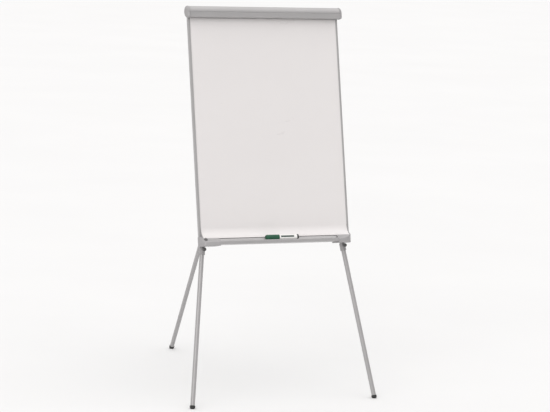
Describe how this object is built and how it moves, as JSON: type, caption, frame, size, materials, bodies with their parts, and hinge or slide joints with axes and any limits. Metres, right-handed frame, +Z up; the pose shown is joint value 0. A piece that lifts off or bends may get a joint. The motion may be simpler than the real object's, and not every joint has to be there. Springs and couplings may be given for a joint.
{
  "type": "flipchart easel",
  "caption": "Tripod easel with a white magnetic writing board, a hinged paper clamp, a pen tray holding a marker, and telescopic legs.",
  "frame": {"origin": "on the floor, at the middle of the area the three feet stand on", "axes": "+Z up; the side that is written on faces -Y and the rear leg stands towards +Y; +X is to the right of someone who faces the board"},
  "size_m": [0.8708, 1.216, 1.6362],
  "materials": {
    "white_lacquer": "smooth lacquered writing surface on steel",
    "grey_paint": "satin powder coat",
    "grey_plastic": "moulded, fine matt texture",
    "bare_aluminium": "drawn, satin",
    "zinc_sheet": "galvanised sheet",
    "plated_steel": "bright zinc plate",
    "fibreboard": "raw sawn edge",
    "black_rubber": "matt",
    "black_plastic": "moulded, fine matt texture",
    "green_plastic": "moulded, semi-gloss",
    "white_plastic": "moulded, semi-gloss",
    "green_felt": "soaked felt"
  },
  "bodies": {
    "board": {"writing_surface": "white_lacquer", "board_core": "fibreboard", "back_sheet": "zinc_sheet", "frame_left": "grey_paint", "frame_right": "grey_paint", "frame_top": "grey_paint", "pen_tray": "grey_paint", "tray_cap_left": "grey_plastic", "tray_cap_right": "grey_plastic", "tray_plug": "black_plastic", "clamp_track": "bare_aluminium", "clamp_rod": "plated_steel", "clamp_knuckle_left": "plated_steel", "clamp_knuckle_right": "plated_steel", "clamp_spring_left": "plated_steel", "clamp_spring_right": "plated_steel", "upper_tube_left": "grey_paint", "upper_tube_right": "grey_paint", "upper_cap_left": "black_plastic", "upper_cap_right": "black_plastic", "collar_left": "grey_plastic", "collar_right": "grey_plastic", "head_rail": "grey_paint", "rail_screw_1": "plated_steel", "rail_screw_2": "plated_steel", "rail_screw_3": "plated_steel", "rail_screw_4": "plated_steel", "top_saddle_left": "grey_plastic", "top_saddle_right": "grey_plastic", "low_saddle_left": "grey_plastic", "low_saddle_right": "grey_plastic", "rear_clevis": "plated_steel", "rear_pin": "plated_steel"},
    "clamp": {"clamp_bar": "grey_paint", "clamp_cap_left": "grey_plastic", "clamp_cap_right": "grey_plastic", "clamp_pad": "black_rubber"},
    "hook_left": {"paper_hook_left": "black_plastic"},
    "hook_right": {"paper_hook_right": "black_plastic"},
    "left_lower": {"lower_tube_left": "grey_paint", "guide_plug_left": "black_plastic", "foot_left": "black_rubber"},
    "right_lower": {"lower_tube_right": "grey_paint", "guide_plug_right": "black_plastic", "foot_right": "black_rubber"},
    "rear_leg": {"upper_tube_rear": "grey_paint", "rear_eye_plug": "black_plastic", "collar_rear": "grey_plastic"},
    "rear_lower": {"lower_tube_rear": "grey_paint", "guide_plug_rear": "black_plastic", "foot_rear": "black_rubber"},
    "left_knob": {"knob_left": "black_plastic"},
    "right_knob": {"knob_right": "black_plastic"},
    "rear_knob": {"knob_rear": "black_plastic"},
    "marker": {"marker_barrel": "white_plastic", "marker_end_plug": "black_plastic", "marker_nib": "green_felt"},
    "marker_cap": {"marker_cap": "green_plastic"}
  },
  "joints": [
    {"name": "clamp_hinge", "type": "hinge", "parent": "board", "child": "clamp", "pos_m": [0, -0.22209, 1.62756], "axis": [-1, 0, 0], "range_deg": [0, 60], "stiffness_Nm_per_rad": 0.5, "springref_deg": -34.38},
    {"name": "hook_left_slide", "type": "slide", "parent": "board", "child": "hook_left", "axis": [1, 0, 0], "range_m": [-0.1, 0.1]},
    {"name": "hook_right_slide", "type": "slide", "parent": "board", "child": "hook_right", "axis": [1, 0, 0], "range_m": [-0.1, 0.1]},
    {"name": "left_leg_slide", "type": "slide", "parent": "board", "child": "left_lower", "axis": [0.1444, 0.2703, 0.9519], "range_m": [-0.2, 0.5]},
    {"name": "right_leg_slide", "type": "slide", "parent": "board", "child": "right_lower", "axis": [-0.1444, 0.2703, 0.9519], "range_m": [-0.2, 0.5]},
    {"name": "rear_leg_hinge", "type": "hinge", "parent": "board", "child": "rear_leg", "pos_m": [0, -0.16413, 1.45767], "axis": [-1, 0, 0], "range_deg": [0, 42]},
    {"name": "rear_leg_slide", "type": "slide", "parent": "rear_leg", "child": "rear_lower", "axis": [0, -0.4646, 0.8855], "range_m": [-0.2, 0.5]},
    {"name": "left_knob_turn", "type": "hinge", "parent": "board", "child": "left_knob", "pos_m": [-0.32921, -0.41919, 0.63251], "axis": [0, -0.962, 0.2731], "range_deg": [0, 270]},
    {"name": "right_knob_turn", "type": "hinge", "parent": "board", "child": "right_knob", "pos_m": [0.32921, -0.41919, 0.63251], "axis": [0, -0.962, 0.2731], "range_deg": [0, 270]},
    {"name": "rear_knob_turn", "type": "hinge", "parent": "rear_leg", "child": "rear_knob", "pos_m": [0, 0.25984, 0.64964], "axis": [0, 0.8855, 0.4646], "range_deg": [0, 270]},
    {"name": "marker_lift", "type": "slide", "parent": "board", "child": "marker", "axis": [0, 0, 1], "range_m": [0, 0.1]},
    {"name": "marker_cap_pull", "type": "slide", "parent": "marker", "child": "marker_cap", "axis": [-1, 0, 0], "range_m": [0, 0.055]}
  ]
}
